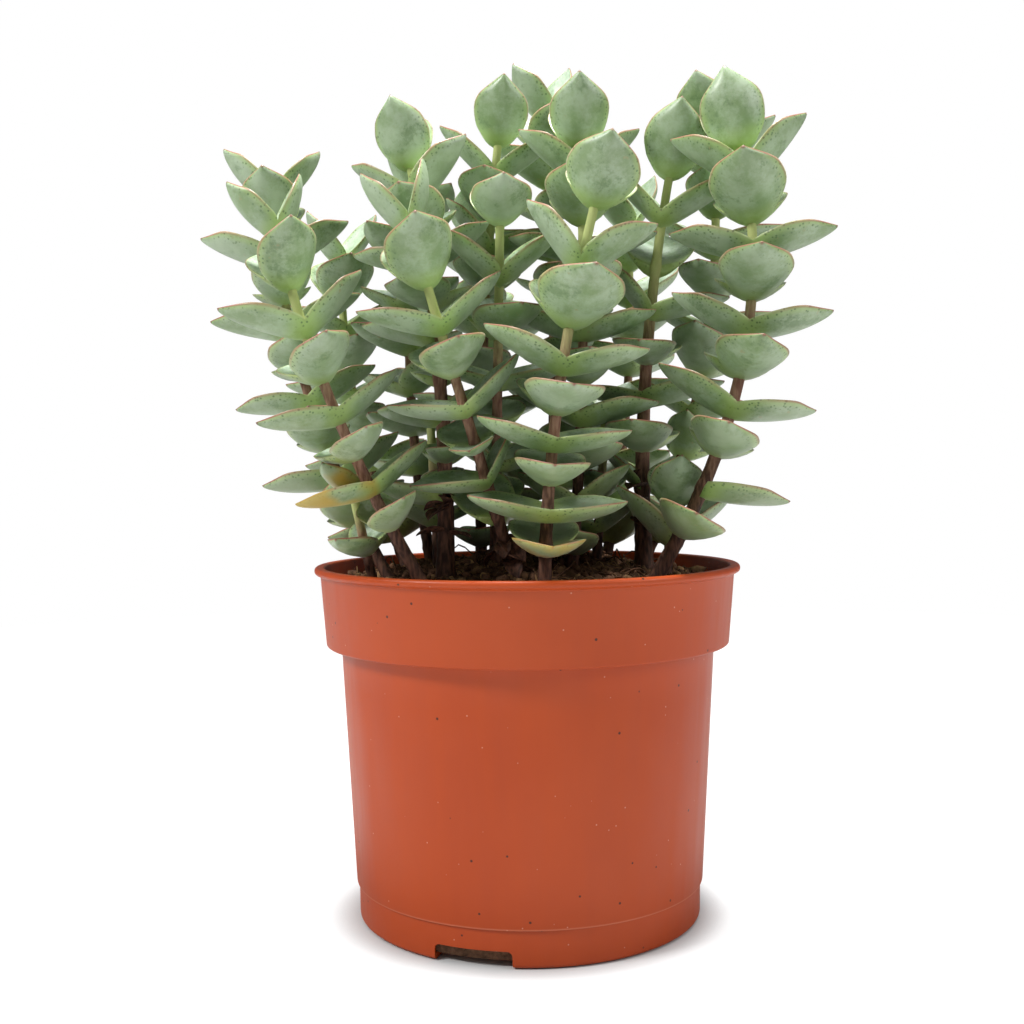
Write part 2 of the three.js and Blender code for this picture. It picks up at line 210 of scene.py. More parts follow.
# %% White paper floor
FLOOR_RADIUS = 800
FLOOR_DEPTH = 0.2
GLOW = 1.45
GLOW_SHARE = 0.62
CONTACT_REACH = 9
CONTACT_DARKNESS = 2.5
paper, tree, shader, place = start_material("matt white paper")
tone = patches(tree, place, 60, 3)
tree.links.new(blend(tree, tone, "C6C6C5", "CCCCCC"), shader.inputs["Base Color"])
shader.inputs["Roughness"].default_value = 0.9
shader.inputs["Specular IOR Level"].default_value = 0.2
white = (1.0, 1.0, 1.0, 1.0)
glow = add(tree, "ShaderNodeEmission", {"Color": white, "Strength": GLOW}).outputs[0]
ray = add(tree, "ShaderNodeLightPath").outputs["Is Camera Ray"]
open_sky = add(tree, "ShaderNodeAmbientOcclusion", {"Distance": CONTACT_REACH * MM}).outputs["AO"]
open_sky = calculate(tree, "POWER", open_sky, CONTACT_DARKNESS)
share = calculate(tree, "MULTIPLY", ray, open_sky)
share = calculate(tree, "MULTIPLY", share, GLOW_SHARE)
lit = add(tree, "ShaderNodeMixShader", {0: share, 1: shader.outputs[0], 2: glow}).outputs[0]
tree.links.new(lit, tree.nodes["Material Output"].inputs[0])
bpy.ops.mesh.primitive_circle_add(vertices=96, radius=FLOOR_RADIUS * MM, fill_type="NGON",
                                  location=(0, 0, -FLOOR_DEPTH * MM))
floor = bpy.context.object
floor.name = "floor"
floor.data.materials.append(paper)

# %% [markdown]
# ## Waxy leaf skin
#
# The leaves are fleshy, with a powdery wax bloom over green skin. The bloom makes them grey-green and
# nearly matt, palest where it lies thick, and where it has been rubbed off the darker green shows. The
# rim is a fine red line, strongest towards the tip, with a yellow-green band and small dark dots beside
# it. Old leaves low on the stem lose the bloom and turn olive, and a few are yellow. Each leaf carries
# numbers for where a point lies on it: along from base to tip, across from midrib to rim, and under
# from top to bottom, and others for its age and luck. Wax has an IOR of about 1.44, and light goes a
# millimetre or so into the flesh.

# %% Waxy leaf skin
leaf_skin, tree, shader, place = start_material("waxy leaf skin")
along = number(tree, "along")
across = number(tree, "across")

bloom = patches(tree, place, 8, 8, 0.7)
skin = blend(tree, ramp(tree, bloom, 0.36, 0.64, soft=True), "758F64", "BBCBB6")
skin = blend(tree, ramp(tree, number(tree, "under"), 0, 1, high=0.5), skin, "92A876")
skin = blend(tree, ramp(tree, number(tree, "luck"), 0.5, 1, high=0.35), skin, "BCC9B4")
rubbed = patches(tree, place, 11, 6, 0.75)
skin = blend(tree, ramp(tree, rubbed, 0.53, 0.64, high=0.55, soft=True), skin, "5F7C4C")
skin = blend(tree, ramp(tree, number(tree, "age"), 0.5, 1, high=0.6, soft=True), skin, "6C833E")
skin = blend(tree, ramp(tree, along, 0.3, 0.02, high=0.65, soft=True), skin, "ACC364")
skin = blend(tree, ramp(tree, across, 0.76, 0.96, high=0.62, soft=True), skin, "A9C078")

dots = ramp(tree, specks(tree, place, 1.1), 0.36, 0.18, high=0.7, soft=True)
dots = calculate(tree, "MULTIPLY", dots, ramp(tree, across, 0.6, 0.85))
skin = blend(tree, dots, skin, "4C6C3C")
scabs = ramp(tree, patches(tree, place, 2.4, 3), 0.69, 0.76, high=0.55)
skin = blend(tree, scabs, skin, "A89A70")

rim = ramp(tree, across, 0.93, 0.99, soft=True)
rim = calculate(tree, "MULTIPLY", rim, ramp(tree, along, 0.2, 0.9, 0.1, 0.9))
skin = blend(tree, rim, skin, "A8564F")
skin = blend(tree, ramp(tree, along, 0.965, 0.99, high=0.85), skin, "8A4638")
yellow = ramp(tree, patches(tree, place, 13, 2), 0.4, 0.55)
yellow = calculate(tree, "MULTIPLY", yellow, number(tree, "yellowed"))
skin = blend(tree, yellow, skin, "C2A23E")
tree.links.new(skin, shader.inputs["Base Color"])

tree.links.new(ramp(tree, bloom, 0.3, 0.7, 0.28, 0.5), shader.inputs["Roughness"])
relief = bump(tree, patches(tree, place, 5, 2), 0.25, 0.6)
relief = bump(tree, patches(tree, place, 0.7, 2), 0.12, 0.1, relief)
tree.links.new(relief, shader.inputs["Normal"])
shader.inputs["IOR"].default_value = 1.44
shader.inputs["Specular IOR Level"].default_value = 0.8
shader.inputs["Subsurface Weight"].default_value = 0.12
shader.inputs["Subsurface Radius"].default_value = (0.6, 1.0, 0.35)
shader.inputs["Subsurface Scale"].default_value = 1.5 * MM
shader.inputs["Sheen Weight"].default_value = 0.18
shader.inputs["Sheen Roughness"].default_value = 0.5
shader.inputs["Sheen Tint"].default_value = linear("DCE6DA")

# %% [markdown]
# ## Stem bark
#
# A stem is young at its top and old at its foot, and its skin shows it: yellow-green, then tan with a
# pink cast, then purple-brown, and at the soil dark, cracked bark with long fibres. The number "high"
# runs from 0 at the soil to 1 at the tip. Bark is matt, with the usual plant IOR of about 1.45.

# %% Stem bark
bark, tree, shader, place = start_material("stem bark")
stretch = add(tree, "ShaderNodeMapping", {"Vector": place, "Scale": (1.0, 1.0, 0.2)}).outputs[0]
fibres = patches(tree, stretch, 0.9, 4)
wander = ramp(tree, fibres, 0, 1, -0.08, 0.08)
height = calculate(tree, "ADD", number(tree, "high"), wander)
fibre_mask = ramp(tree, fibres, 0.4, 0.62)
woody = blend(tree, fibre_mask, "3D2419", "6F4A38")
tan = blend(tree, fibre_mask, "8A5F50", "AE8470")
body = blend(tree, ramp(tree, height, 0.14, 0.42, soft=True), woody, tan)
body = blend(tree, ramp(tree, height, 0.5, 0.82, soft=True), body, "B9C07C")
tree.links.new(body, shader.inputs["Base Color"])
tree.links.new(bump(tree, fibres, 0.5, 0.3), shader.inputs["Normal"])
shader.inputs["Roughness"].default_value = 0.7
shader.inputs["IOR"].default_value = 1.45

# %% [markdown]
# ## The rule that grows the plant
#
# The solids were grown by a rule: each stem has its own foot, tip and bow, pairs of leaves follow at
# shortening gaps, each a quarter turn from the last, and a leaf that would run into another stem tries
# a few ways to bend clear. The same rule with the same values gives the same plant here. All of it is
# in millimetres. Blender's own tree of faces answers whether two meshes cross.

# %% Sizes that the leafy stems share
BAND_TOP_RADIUS = 58.3
SOIL_EDGE_HEIGHT = 92.6
SOIL_MOUND = 5
SOIL_LUMP = 0.9
ROOT_DEPTH = 12
STEM_SIDES = 4
STEM_STEPS = 6
STEM_TIP_RADIUS = 1.15
LOWEST_LEAF = 100
LEAF_STATIONS = [0.34, 0.74]
LEAF_BASE_WIDTH = 0.62
CUP = 0.3
LEAF_THICK = 2.9
SPARE = 1.2
NEXT_PITCHES = [38, 27]
LOW_PITCH = 22
LOWEST_PITCH = 12
TOP_SIZES = [0.86, 0.97, 1]
LOW_SIZE = 0.88
TOP_CURL = 34
LOW_CURL = 12
TURN_PLAY = 16
PITCH_PLAY = 8
SIZE_PLAY = 0.1
CURL_PLAY = 22
GAP_PLAY = 0.12
WAYS_CLEAR = [
    (0, 0, 1), (10, 0, 1), (-8, 0, 1), (0, 14, 1), (0, -14, 1), (20, 0, 1), (0, 0, 0.86),
    (12, 12, 0.86), (12, -12, 0.86), (-8, 0, 0.86), (28, 0, 0.86), (0, 0, 0.72), (22, 0, 0.72),
    (-8, 14, 0.72), (-8, -14, 0.72), (34, 0, 0.72), (0, 0, 0.6), (26, 0, 0.6),
]

# %% Each stem: foot, tip, bow, direction and opening of the top pair, leaf size, gaps, bare length, girth
STEMS = [
    ("stem_front_middle", (4, -40), (17.5, -44, 192), (-3, -3), 92, 42, (23, 22), (16, 9), 8, 1.9),
    ("stem_front_inner_left", (-3, -28), (-29, -42, 186), (0, -4), 12, 62, (22, 18), (13, 10), 10, 1.8),
    ("stem_front_left", (-26, -38), (-63, -40, 186), (-4, -2), 24, 55, (21, 17), (14, 10), 6, 1.9),
    ("shoot_right", (38, -15), (40, -15, 116), (0, 0), 90, 45, (21, 17), (10, 9), 4, 1.6),
    ("stem_right", (33, -27), (58, -18, 212), (12, -2), 84, 74, (25, 21), (10, 11), 9, 2.3),
    ("stem_middle_left", (-9, -12), (-6.5, -28, 191), (0, -1), 94, 40, (21, 20), (16, 11), 8, 1.7),
    ("stem_top_middle", (12, -17), (15.5, -9, 215), (2, 2), 90, 58, (23, 19), (10, 12), 6, 1.8),
    ("stem_woody_left", (-22, -26), (-31, -13, 209), (3, 2), 78, 68, (22, 18), (9, 11), 15, 2.9),
    ("stem_top_left", (-13, 5), (-7, 3, 219), (-2, 2), 88, 60, (23, 19), (10, 12), 8, 1.8),
    ("stem_woody_right", (33, -6), (41, -4, 208), (-3, 2), 80, 60, (24, 20), (13, 12), 16, 3.0),
    ("stem_outer_left", (-38, -14), (-71, 2, 203), (-7, 0), 8, 45, (23, 18), (10, 11), 7, 1.8),
    ("stem_top_back", (7, 22), (7, 27, 232), (2, 4), 28, 55, (22, 18), (10, 12), 10, 1.8),
    ("stem_right_back", (34, 16), (55, 12, 222), (9, 2), 62, 58, (23, 19), (11, 12), 8, 1.9),
    ("stem_left_middle_back", (-28, 13), (-32, 17, 208), (-4, 2), 50, 58, (22, 18), (11, 12), 8, 1.8),
    ("stem_left_back", (-36, 27), (-56, 33, 190), (-6, 5), 20, 55, (22, 18), (11, 11), 7, 1.8),
    ("stem_back", (-8, 42), (-14, 54, 200), (0, 6), 75, 58, (23, 19), (12, 11), 7, 1.9),
    ("stem_back_right", (25, 38), (34, 51, 203), (4, 6), 35, 58, (23, 19), (12, 11), 7, 1.9),
    ("shoot_left", (-41, -24), (-46, -30, 121), (0, 0), 60, 45, (15, 13), (8, 8), 3, 1.4),
    ("shoot_middle", (20, 2), (23, 4, 140), (0, 0), 60, 50, (21, 18), (11, 10), 6, 1.6),
    ("shoot_middle_left", (-25, -4), (-27, -3, 142), (0, 0), 100, 50, (21, 18), (11, 10), 6, 1.6),
]
STEM_KEYS = ("name", "base", "tip", "bow", "turn", "open", "leaf", "gaps", "bare", "girth")
STEMS = [dict(zip(STEM_KEYS, stem)) for stem in STEMS]
print("stems:", len(STEMS))


# %% The stem's line
def mix(a, b, t):
    return a + (b - a) * t


def seeded_numbers(seed):
    """Numbers from 0 to 1 that are the same each run, and the same as in the solids."""
    state = seed
    while True:
        state = (state * 1664525 + 1013904223) % 4294967296
        yield state / 4294967296


def soil_height(x, y):
    share = min(1, math.hypot(x, y) / BAND_TOP_RADIUS)
    lumps = math.sin(x * 0.31 + 1.3) * math.sin(y * 0.37 + 0.4) + 0.5 * math.sin(x * 0.83 - y * 0.71)
    return SOIL_EDGE_HEIGHT + SOIL_MOUND * (1 - share * share) + SOIL_LUMP * lumps


def stem_point(stem, t):
    """A point of the stem's axis: t is 0 at the soil and 1 at the tip."""
    bow = 4 * t * (1 - t) if t > 0 else 0
    return Vector((
        mix(stem["base"][0], stem["tip"][0], t) + stem["bow"][0] * bow,
        mix(stem["base"][1], stem["tip"][1], t) + stem["bow"][1] * bow,
        mix(soil_height(*stem["base"]), stem["tip"][2], t),
    ))


def stem_length(stem):
    return (stem_point(stem, 1) - stem_point(stem, 0)).length


def stem_direction(stem, t):
    return (stem_point(stem, t + 0.02) - stem_point(stem, t - 0.02)).normalized()


def tube(stem, sides, stations, radius_at):
    """A closed tube along the stem's axis, as points and faces."""
    points = []
    faces = []
    for t in stations:
        along_stem = stem_direction(stem, t)
        across_stem = Vector((0, 1, 0)).cross(along_stem).normalized()
        third = along_stem.cross(across_stem)
        for k in range(sides):
            a = 2 * math.pi * k / sides
            out = across_stem * math.cos(a) + third * math.sin(a)
            points.append(stem_point(stem, t) + out * radius_at(t, a))
    for i in range(len(stations) - 1):
        for k in range(sides):
            a = i * sides + k
            b = i * sides + (k + 1) % sides
            faces.append((a, b, b + sides, a + sides))
    last = sides * (len(stations) - 1)
    faces.append(tuple(range(sides - 1, -1, -1)))
    faces.append(tuple(last + k for k in range(sides)))
    return points, faces


# %% [markdown]
# ## Leaves as rings
#
# A leaf is a row of rings along an arc, from the stem to a sharp tip, and a pair is one row from tip
# to tip through the stem, as the real pair is grown together. The coarse ring has four points and is
# used to find room. The fine ring has a shallow bowl on top, a round rim and a full keel below.

# %% Leaf rings
FINE_POINTS = 24
FINE_RINGS = 17


def leaf_outline(t):
    """Half width of a leaf as a share of its greatest, from the base at 0 to the tip at 1."""
    s = max(0, t)
    return (1 - s ** 2.2) ** 0.9 * (LEAF_BASE_WIDTH + s ** 0.8)


def drawn_tip(t):
    """What the fine outline loses towards the tip, so that it ends in a small drawn-out point."""
    return 1 - 0.42 * max(0, (t - 0.68) / 0.32) ** 1.4


def coarse_ring(middle, side, normal, half, keel, spare):
    edge = CUP * half
    return [
        middle + side * half + normal * edge,
        middle + normal * (spare / 2 + 0.2),
        middle - side * half + normal * edge,
        middle - normal * keel,
    ]


def fine_ring(middle, side, normal, half, keel, fade):
    ring = []
    for k in range(FINE_POINTS):
        a = 2 * math.pi * k / FINE_POINTS
        u = math.cos(a)
        bowl = CUP * half * abs(u) ** 1.7
        if k <= FINE_POINTS // 2:
            height = bowl + 0.35 * fade * math.sqrt(max(0, 1 - u ** 6))
        else:
            height = bowl - keel * fade * max(0, 1 - u * u) ** 0.62
        ring.append(middle + side * (half * u) + normal * height)
    return ring


def leaf_frame(leaf, t, length):
    """The middle of a leaf at t on its arc, and the arc's angle there."""
    first = leaf["pitch"] - leaf["curl"] / 2
    angle = first + leaf["curl"] * t
    forward = length * (math.sin(angle) - math.sin(first)) / leaf["curl"]
    rise = length * (math.cos(first) - math.cos(angle)) / leaf["curl"]
    middle = leaf["root"] + leaf["out"] * forward + leaf["up"] * rise
    return middle, angle


def leaf_rings(leaf, spare, fine):
    """The rings beyond the stem, their stations, and the tip."""
    side = leaf["up"].cross(leaf["out"])
    length = leaf["length"] + spare
    if fine:
        stations = [1 - (1 - i / FINE_RINGS) ** 1.45 for i in range(1, FINE_RINGS)]
    else:
        stations = LEAF_STATIONS
    rings = []
    for t in stations:
        middle, angle = leaf_frame(leaf, t, length)
        if fine:
            angle *= min(1, t / 0.12)
        normal = leaf["up"] * math.cos(angle) - leaf["out"] * math.sin(angle)
        half = (leaf["width"] + spare) / 2 * leaf_outline(t)
        keel = (LEAF_THICK * leaf["share"] + spare) * (1 - 0.4 * t)
        if fine:
            half *= drawn_tip(t) * (1 + 0.03 * math.sin(4 * math.pi * t + 6 * leaf["luck"]) * t)
            rings.append(fine_ring(middle, side, normal, half, keel, math.sqrt(1 - t ** 5)))
        else:
            rings.append(coarse_ring(middle, side, normal, half, keel, spare))
    return rings, stations, leaf_frame(leaf, 1, length)[0]


def pair_mesh(leaves, spare=0, fine=False):
    """One leaf, or a pair grown together, as points, faces, and the station of each ring."""
    leaf = leaves[0]
    mate = leaves[1] if len(leaves) > 1 else None
    out = (leaf["out"] - mate["out"]).normalized() if mate else leaf["out"]
    side = leaf["up"].cross(out)
    share = (leaf["share"] + mate["share"]) / 2 if mate else leaf["share"]
    width = (leaf["width"] + mate["width"]) / 2 if mate else leaf["width"]
    half = (width + spare) / 2 * leaf_outline(0)
    if fine:
        first_ring = fine_ring(leaf["root"], side, leaf["up"], half, LEAF_THICK * share, 1)
    else:
        keel = LEAF_THICK * share + spare
        first_ring = coarse_ring(leaf["root"], side, leaf["up"], half, keel, spare)
    count = len(first_ring)
    outer, stations, tip = leaf_rings(leaf, spare, fine)
    rings = [first_ring] + outer
    marks = [(0, leaf)] + [(t, leaf) for t in stations]
    far_tip = None
    if mate:
        far_rings, far_stations, far_tip = leaf_rings(mate, spare, fine)
        for ring, t in zip(far_rings, far_stations):
            rings.insert(0, [ring[(count // 2 - k) % count] for k in range(count)])
            marks.insert(0, (t, mate))
    points = [p for ring in rings for p in ring] + [tip]
    faces = []
    for i in range(len(rings) - 1):
        for k in range(count):
            a = count * i + k
            b = count * i + (k + 1) % count
            faces.append((a, b, b + count, a + count))
    last = count * (len(rings) - 1)
    for k in range(count):
        faces.append((last + k, last + (k + 1) % count, last + count))
    if mate:
        points.append(far_tip)
        for k in range(count):
            faces.append((last + count + 1, (k + 1) % count, k))
    else:
        faces.append(tuple(range(count - 1, -1, -1)))
    return points, faces, marks


# %% Pairs along a stem, and the room for each leaf
def pairs_of(stem, draw):
    pairs = []
    length = stem_length(stem)
    down = 0
    k = 0
    while down <= length - stem["bare"]:
        low = max(0, down / length)
        turn = stem["turn"] + 90 * k + TURN_PLAY * (next(draw) - 0.5)
        pitches = [stem["open"]] + NEXT_PITCHES
        pitch = pitches[k] if k < len(pitches) else mix(LOW_PITCH, LOWEST_PITCH, low)
        pitch += PITCH_PLAY * (next(draw) - 0.5)
        size = TOP_SIZES[k] if k < len(TOP_SIZES) else mix(1, LOW_SIZE, low)
        size *= 1 + SIZE_PLAY * (next(draw) - 0.5)
        curl = TOP_CURL if k == 0 else LOW_CURL + CURL_PLAY * (next(draw) - 0.4)
        pair = {"t": 1 - down / length, "turn": turn, "pitch": pitch, "size": size, "curl": curl}
        pairs.append(pair)
        gap = mix(stem["gaps"][0], stem["gaps"][1], min(1, 2 * down / length))
        down += gap * (1 + GAP_PLAY * (next(draw) - 0.5))
        k += 1
    return pairs


def make_leaf(stem, pair, half_turn, way):
    more_pitch, more_turn, size = way
    up = stem_direction(stem, pair["t"])
    turn = math.radians(pair["turn"] + 180 * half_turn + more_turn)
    level = Vector((math.cos(turn), math.sin(turn), 0))
    return {
        "root": stem_point(stem, pair["t"]),
        "up": up,
        "out": (level - up * level.dot(up)).normalized(),
        "length": stem["leaf"][0] * pair["size"] * size,
        "width": stem["leaf"][1] * pair["size"] * size,
        "share": pair["size"] * size,
        "pitch": math.radians(pair["pitch"] + more_pitch),
        "curl": math.radians(pair["curl"]),
        "t": pair["t"],
        "luck": 0.5,
        "yellowed": 0,
    }


def reach(points, faces):
    """A mesh's box and its tree of faces, to test it against others."""
    low = [min(p[i] for p in points) for i in range(3)]
    high = [max(p[i] for p in points) for i in range(3)]
    return low, high, BVHTree.FromPolygons([tuple(p) for p in points], faces, all_triangles=False)


def crosses(a, b):
    apart = any(a[0][i] > b[1][i] or b[0][i] > a[1][i] for i in range(3))
    return not apart and bool(a[2].overlap(b[2]))


def stem_radius(stem, t):
    return mix(stem["girth"], STEM_TIP_RADIUS, math.sqrt(max(0, t)))


def coarse_tube(stem):
    stations = [i / STEM_STEPS for i in range(STEM_STEPS + 1)]
    points, faces = tube(stem, STEM_SIDES, stations, lambda t, a: stem_radius(stem, t) + 0.4)
    return reach(points, faces)


def grow_pairs(stems):
    tubes = [coarse_tube(stem) for stem in stems]
    others = []
    grown = []
    for index, stem in enumerate(stems):
        draw = seeded_numbers(7 + 131 * index)
        pairs = []
        for pair in pairs_of(stem, draw):
            leaves = []
            for half_turn in (0, 1):
                for way in WAYS_CLEAR:
                    leaf = make_leaf(stem, pair, half_turn, way)
                    points, faces, marks = pair_mesh([leaf], SPARE)
                    wide = reach(points, faces)
                    if wide[0][2] <= LOWEST_LEAF:
                        continue
                    if any(crosses(wide, t) for i, t in enumerate(tubes) if i != index):
                        continue
                    if any(crosses(wide, other) for other in others):
                        continue
                    leaves.append(leaf)
                    break
            if leaves:
                pairs.append(leaves)
        for leaves in pairs:
            points, faces, marks = pair_mesh(leaves)
            others.append(reach(points, faces))
        grown.append(pairs)
    return grown


plant = grow_pairs(STEMS)
print("leaves on each stem:", [sum(len(pair) for pair in pairs) for pairs in plant])

# %% [markdown]
# ## Leafy stems
#
# A leafy stem is one grown thing, so it is one piece: a tube with a swelling at each pair, and its
# pairs of leaves. The woody stems also keep a few withered leaves low down, thin, brown and drooping.
# Every point carries its numbers for the finishes. Two old leaves in front have turned yellow.

# %% Leafy stems
dice = random.Random(11)
WITHERED = {"stem_woody_left": 0.17, "stem_woody_right": 0.2, "stem_front_inner_left": 0.1}
WITHERED_LEAVES = 7
TUBE_SIDES = 14
TUBE_STEPS = 110
YELLOWED_AT = [Vector((-51, -45, 123)), Vector((5, -56, 107))]


def make_piece(name, points, faces, materials, face_materials, numbers):
    """A smooth mesh object from millimetres, with a number of each kind at every point."""
    mesh = bpy.data.meshes.new(name)
    mesh.from_pydata([tuple(c * MM for c in p) for p in points], [], faces)
    for material in materials:
        mesh.materials.append(material)
    mesh.polygons.foreach_set("material_index", face_materials)
    mesh.polygons.foreach_set("use_smooth", [True] * len(faces))
    for key, values in numbers.items():
        mesh.attributes.new(key, "FLOAT", "POINT").data.foreach_set("value", values)
    mesh.validate()
    piece = bpy.data.objects.new(name, mesh)
    bpy.context.collection.objects.link(piece)
    return piece


def leaf_numbers(marks, has_far_tip):
    """Along, across, under, age, luck and yellowed for each point of a fine pair."""
    rows = []
    for t, leaf in marks:
        for k in range(FINE_POINTS):
            a = 2 * math.pi * k / FINE_POINTS
            low_side = min(1, max(0, 0.5 - 3 * math.sin(a)))
            rows.append((t, abs(math.cos(a)), low_side, 1 - leaf["t"], leaf["luck"], leaf["yellowed"]))
    tips = [marks[-1][1]] + ([marks[0][1]] if has_far_tip else [])
    for leaf in tips:
        rows.append((1, 1, 0.5, 1 - leaf["t"], leaf["luck"], leaf["yellowed"]))
    return rows


def leafy_stem(stem, pairs):
    nodes = [pair[0]["t"] for pair in pairs]
    length = stem_length(stem)

    def radius_at(t, a):
        swell = sum(math.exp(-((t - node) * length / 1.5) ** 2) for node in nodes)
        height = t * length * 0.5 + stem["girth"] * 7
        knobs = noise.noise(Vector((3 * math.cos(a), 3 * math.sin(a), height)))
        rough = 0.28 * max(0, 0.4 - t) / 0.4 + 0.06
        return stem_radius(stem, t) + 0.35 * min(1, swell) + rough * knobs

    start = -ROOT_DEPTH / length
    stations = [mix(start, 1, i / TUBE_STEPS) for i in range(TUBE_STEPS + 1)]
    points, faces = tube(stem, TUBE_SIDES, stations, radius_at)
    kinds = [1] * len(faces)
    rows = [(0, 0, 0, 0, 0, 0)] * len(points)
    high = [max(0, stations[i // TUBE_SIDES]) for i in range(len(points))]
    batches = [(pair, 0) for pair in pairs]
    if stem["name"] in WITHERED:
        for k in range(WITHERED_LEAVES):
            t = WITHERED[stem["name"]] * dice.uniform(0.6, 1.25)
            turn = dice.uniform(0, 360)
            pitch = dice.uniform(-50, 10)
            pair = {"t": t, "turn": turn, "pitch": pitch, "size": 1, "curl": -60}
            shrunk = {**stem, "leaf": (dice.uniform(5, 9), dice.uniform(4, 7))}
            dead = make_leaf(shrunk, pair, 0, (0, 0, 1))
            dead["share"] = 0.15
            batches.append(([dead], 1))
    for leaves, kind in batches:
        for leaf in leaves:
            leaf["luck"] = dice.random()
            middle = leaf["root"] + leaf["out"] * 12
            if kind == 0 and min((middle - spot).length for spot in YELLOWED_AT) < 9:
                leaf["yellowed"] = 0.8
        more_points, more_faces, marks = pair_mesh(leaves, 0, True)
        offset = len(points)
        points.extend(more_points)
        faces.extend(tuple(offset + i for i in face) for face in more_faces)
        kinds.extend([kind] * len(more_faces))
        rows.extend(leaf_numbers(marks, len(leaves) > 1))
        high.extend([0.1] * len(more_points))
    names = ("along", "across", "under", "age", "luck", "yellowed")
    numbers = {name: [row[i] for row in rows] for i, name in enumerate(names)}
    numbers["high"] = high
    piece = make_piece("leafy_" + stem["name"], points, faces, (leaf_skin, bark), kinds, numbers)
    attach(piece, "root")
    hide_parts(stem["name"])
    return len(faces)


faces_made = [leafy_stem(stem, pairs) for stem, pairs in zip(STEMS, plant)]
print("faces on each leafy stem:", faces_made)

# %% [markdown]
# ## Moulded polypropylene
#
# The pot is injection-moulded polypropylene in a terracotta colour. The mould was lightly matt, so
# the wall has a soft sheen (IOR 1.49, roughness about 0.4) with faint upright drag marks from
# ejection. Handling leaves specks of pale dust and of dark soil. A pale painted highlight marks
# the low step.

# %% Moulded polypropylene
plastic, tree, shader, place = start_material("moulded polypropylene")
upright = add(tree, "ShaderNodeMapping", {"Vector": place, "Scale": (1.0, 1.0, 0.08)}).outputs[0]
drag = patches(tree, upright, 5, 4)
shade = blend(tree, drag, "AC4012", "B84815")
cloud = ramp(tree, patches(tree, place, 45, 3), 0.4, 0.7, high=0.5)
shade = blend(tree, cloud, shade, "BE5022")
dust = ramp(tree, specks(tree, place, 4.2), 0.06, 0.03, high=0.6)
shade = blend(tree, dust, shade, "DDB49A")
soil_specks = ramp(tree, specks(tree, place, 6), 0.07, 0.05)
shade = blend(tree, soil_specks, shade, "4A2416")
# Painted highlight: a pale band along the low step of the foot, where its edge would catch the light.
height = add(tree, "ShaderNodeSeparateXYZ", {0: place}).outputs["Z"]
step_highlight_low = ramp(tree, height, 9.6 * MM, 9.9 * MM)
step_highlight_high = ramp(tree, height, 10.5 * MM, 10.2 * MM)
step_highlight = calculate(tree, "MULTIPLY", step_highlight_low, step_highlight_high)
step_highlight = calculate(tree, "MULTIPLY", step_highlight, 0.35)
shade = blend(tree, step_highlight, shade, "D98F6E")
tree.links.new(shade, shader.inputs["Base Color"])
tree.links.new(ramp(tree, drag, 0.3, 0.7, 0.36, 0.48), shader.inputs["Roughness"])
relief = bump(tree, drag, 0.12, 0.3)
relief = bump(tree, patches(tree, place, 0.5, 2), 0.06, 0.05, relief)
tree.links.new(relief, shader.inputs["Normal"])
shader.inputs["IOR"].default_value = 1.49
shader.inputs["Specular IOR Level"].default_value = 0.35

# %% [markdown]
# ## Nursery pot
#
# A turned profile gives the pot: a rolled lip, a deep band, a ledge below it, a tapered wall and a
# foot that steps in by about half a millimetre. The profile is turned finely, then rounded blocks cut
# the notches at the foot and the drain holes in the floor, so that their edges stay crisp.

# %% Nursery pot
LIP_RADIUS = 60
POT_HEIGHT = 98.6
WALL = 1.2
FLOOR = 1.5
BAND_FOOT_RADIUS = 56.9
BAND_FOOT_HEIGHT = 76.6
BODY_TOP_RADIUS = 52.7
BODY_FOOT_RADIUS = 48.8
NOTCH = {"count": 3, "width": 21, "height": 4.4, "inner": 41, "outer": 52, "turn": -108.5}
DRAINS = {"count": 6, "inner": 20, "outer": 26, "width": 6, "height": 4, "turn": 17}
CUT_ROUNDING = 1.4
WALL_STEPS = 6
TURN_STEPS = 200


def arc(centre, radius, start, end, steps):
    """Points of a round corner in a profile, with angles in degrees."""
    angles = [math.radians(mix(start, end, i / steps)) for i in range(steps + 1)]
    return [(centre[0] + radius * math.cos(a), centre[1] + radius * math.sin(a)) for a in angles]


def circle(radius, steps):
    """Points round the pot's axis, as (x, y)."""
    angles = [2 * math.pi * k / steps for k in range(steps)]
    return [(radius * math.cos(a), radius * math.sin(a)) for a in angles]


def inner_radius(z):
    return mix(BODY_FOOT_RADIUS, BODY_TOP_RADIUS, z / BAND_FOOT_HEIGHT) - WALL


def turn_profile(name, profile, material, steps=TURN_STEPS):
    """A solid of turning from [radius, height] points that start and end on the axis."""
    rim = profile[1:-1]
    points = [(0, 0, profile[0][1]), (0, 0, profile[-1][1])]
    for radius, z in rim:
        points.extend((x, y, z) for x, y in circle(radius, steps))
    faces = []
    for k in range(steps):
        after = (k + 1) % steps
        faces.append((0, 2 + after, 2 + k))
        for i in range(len(rim) - 1):
            a = 2 + i * steps
            faces.append((a + k, a + after, a + steps + after, a + steps + k))
        a = 2 + (len(rim) - 1) * steps
        faces.append((1, a + k, a + after))
    return make_piece(name, points, faces, (material,), [0] * len(faces), {})


